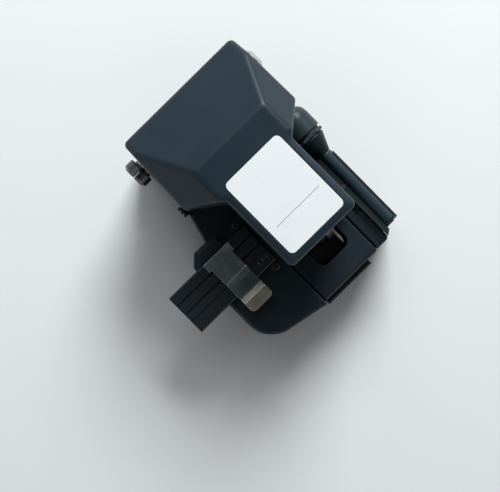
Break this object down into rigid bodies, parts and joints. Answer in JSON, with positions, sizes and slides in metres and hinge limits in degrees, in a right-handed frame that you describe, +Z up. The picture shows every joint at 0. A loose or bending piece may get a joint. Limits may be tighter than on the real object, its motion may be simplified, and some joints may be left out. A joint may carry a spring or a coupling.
{
  "type": "fibre cleaver",
  "caption": "Bench cleaver for optical fibre: hinged clamp lever, sliding round blade, lift-off fibre adapter with sprung lid, and a side roller collector for cut ends.",
  "frame": {"origin": "middle of the footprint, on the surface that the rubber feet stand on", "axes": "+X along the fibre, from its adapter towards the collector; +Y to the rear, towards the lever hinge; +Z up"},
  "size_m": [0.0704, 0.0782, 0.057],
  "materials": {
    "case_plastic": "moulded black plastic with a fine even texture",
    "slider_plastic": "moulded black plastic, slightly smoother",
    "plate_black": "black painted sheet",
    "alloy_black": "black anodised aluminium",
    "steel_dark": "black oxide steel",
    "steel_ground": "ground steel",
    "steel_bright": "bright nickelled steel",
    "steel_plate": "stamped steel plate",
    "spring_steel": "drawn spring wire",
    "blade_carbide": "ground hard metal with a lapped edge",
    "brass_bush": "turned brass",
    "lid_steel": "rolled spring steel sheet",
    "magnet_nickel": "nickel plated magnet",
    "foot_rubber": "moulded black rubber",
    "pad_rubber": "firm ground rubber",
    "roller_rubber": "ground rubber sleeve",
    "knob_plastic": "grey turned plastic"
  },
  "bodies": {
    "base": {"body": "case_plastic", "floor_plate": "plate_black", "floor_screws": "steel_dark", "rubber_feet": "foot_rubber", "guide_rail": "steel_ground", "slider_springs": "spring_steel", "hinge_axle": "steel_ground", "pivot_screw_left": "steel_dark", "pivot_screw_right": "steel_bright", "torsion_spring": "spring_steel", "lower_clamp_left": "alloy_black", "lower_clamp_right": "alloy_black", "clamp_screws": "steel_dark", "lower_pad_left": "pad_rubber", "lower_pad_right": "pad_rubber", "collector_case": "case_plastic", "cover_strip": "plate_black", "cover_screw": "steel_bright", "roller_arm_pin": "steel_bright"},
    "slider": {"slider_block": "slider_plastic", "push_knob": "slider_plastic", "knob_screws": "steel_dark", "rail_carriage": "steel_dark", "blade_bracket": "alloy_black", "bracket_screws": "steel_dark"},
    "blade_unit": {"blade": "blade_carbide", "blade_hub": "steel_ground", "blade_nut": "steel_bright"},
    "lever": {"lever_hood": "case_plastic", "lock_catch": "steel_bright", "hinge_bushes": "brass_bush", "clamp_arm": "alloy_black", "arm_screws": "steel_dark", "jaw_springs_left": "spring_steel", "jaw_springs_right": "spring_steel", "anvil_spring": "spring_steel"},
    "jaw_left": {"upper_jaw_left": "alloy_black", "upper_pad_left": "pad_rubber"},
    "jaw_right": {"upper_jaw_right": "alloy_black", "upper_pad_right": "pad_rubber"},
    "anvil_unit": {"anvil": "steel_bright", "anvil_tip": "pad_rubber"},
    "lock": {"lever_lock": "slider_plastic", "lock_hook": "steel_dark"},
    "adapter": {"fibre_adapter": "alloy_black", "lid_magnet": "magnet_nickel", "lid_pin": "steel_bright"},
    "lid": {"adapter_lid": "lid_steel", "lid_pad": "pad_rubber"},
    "roller_arm": {"roller_arm": "steel_plate"},
    "upper_roller_unit": {"upper_roller": "roller_rubber", "upper_spindle": "knob_plastic", "roller_knob": "knob_plastic"},
    "lower_roller_unit": {"lower_roller": "roller_rubber", "lower_spindle": "steel_ground"},
    "bin": {"scrap_bin": "slider_plastic"}
  },
  "joints": [
    {"name": "slider_slide", "type": "slide", "parent": "base", "child": "slider", "axis": [0, 1, 0], "range_m": [0, 0.016], "stiffness_N_per_m": 60, "springref_m": -0.004, "deforming": ["slider_springs"]},
    {"name": "blade_index", "type": "hinge", "parent": "slider", "child": "blade_unit", "pos_m": [0.0154, -0.02, 0.0189], "axis": [1, 0, 0], "continuous": true},
    {"name": "lever_hinge", "type": "hinge", "parent": "base", "child": "lever", "pos_m": [0.011, 0.0312, 0.032], "axis": [-1, 0, 0], "range_deg": [0, 60]},
    {"name": "jaw_left_float", "type": "slide", "parent": "lever", "child": "jaw_left", "axis": [0, 0, 1], "range_m": [0, 0.0008], "stiffness_N_per_m": 400, "springref_m": -0.0006, "deforming": ["jaw_springs_left"]},
    {"name": "jaw_right_float", "type": "slide", "parent": "lever", "child": "jaw_right", "axis": [0, 0, 1], "range_m": [0, 0.0008], "stiffness_N_per_m": 400, "springref_m": -0.0006, "deforming": ["jaw_springs_right"]},
    {"name": "anvil_float", "type": "slide", "parent": "lever", "child": "anvil_unit", "axis": [0, 0, 1], "range_m": [0, 0.0008], "stiffness_N_per_m": 400, "springref_m": -0.0006, "deforming": ["anvil_spring"]},
    {"name": "lock_slide", "type": "slide", "parent": "base", "child": "lock", "axis": [0, 1, 0], "range_m": [0, 0.003]},
    {"name": "adapter_lift", "type": "slide", "parent": "base", "child": "adapter", "axis": [0, 0, 1], "range_m": [0, 0.012]},
    {"name": "lid_hinge", "type": "hinge", "parent": "adapter", "child": "lid", "pos_m": [-0.0154, -0.0031, 0.02793], "axis": [-1, 0, 0], "range_deg": [0, 100]},
    {"name": "roller_arm_hinge", "type": "hinge", "parent": "base", "child": "roller_arm", "pos_m": [0.02875, 0.00265, 0.0226], "axis": [-1, 0, 0], "range_deg": [0, 15]},
    {"name": "upper_roller_spin", "type": "hinge", "parent": "roller_arm", "child": "upper_roller_unit", "pos_m": [0.0298, -0.0186, 0.02875], "axis": [0, 1, 0], "continuous": true},
    {"name": "lower_roller_spin", "type": "hinge", "parent": "base", "child": "lower_roller_unit", "pos_m": [0.0298, -0.0186, 0.02525], "axis": [0, 1, 0], "continuous": true},
    {"name": "bin_slide", "type": "slide", "parent": "base", "child": "bin", "axis": [0, -1, 0], "range_m": [0, 0.025]}
  ],
  "couplings": [
    {"joint": "lower_roller_spin", "follows": "upper_roller_spin", "ratio": -1}
  ]
}
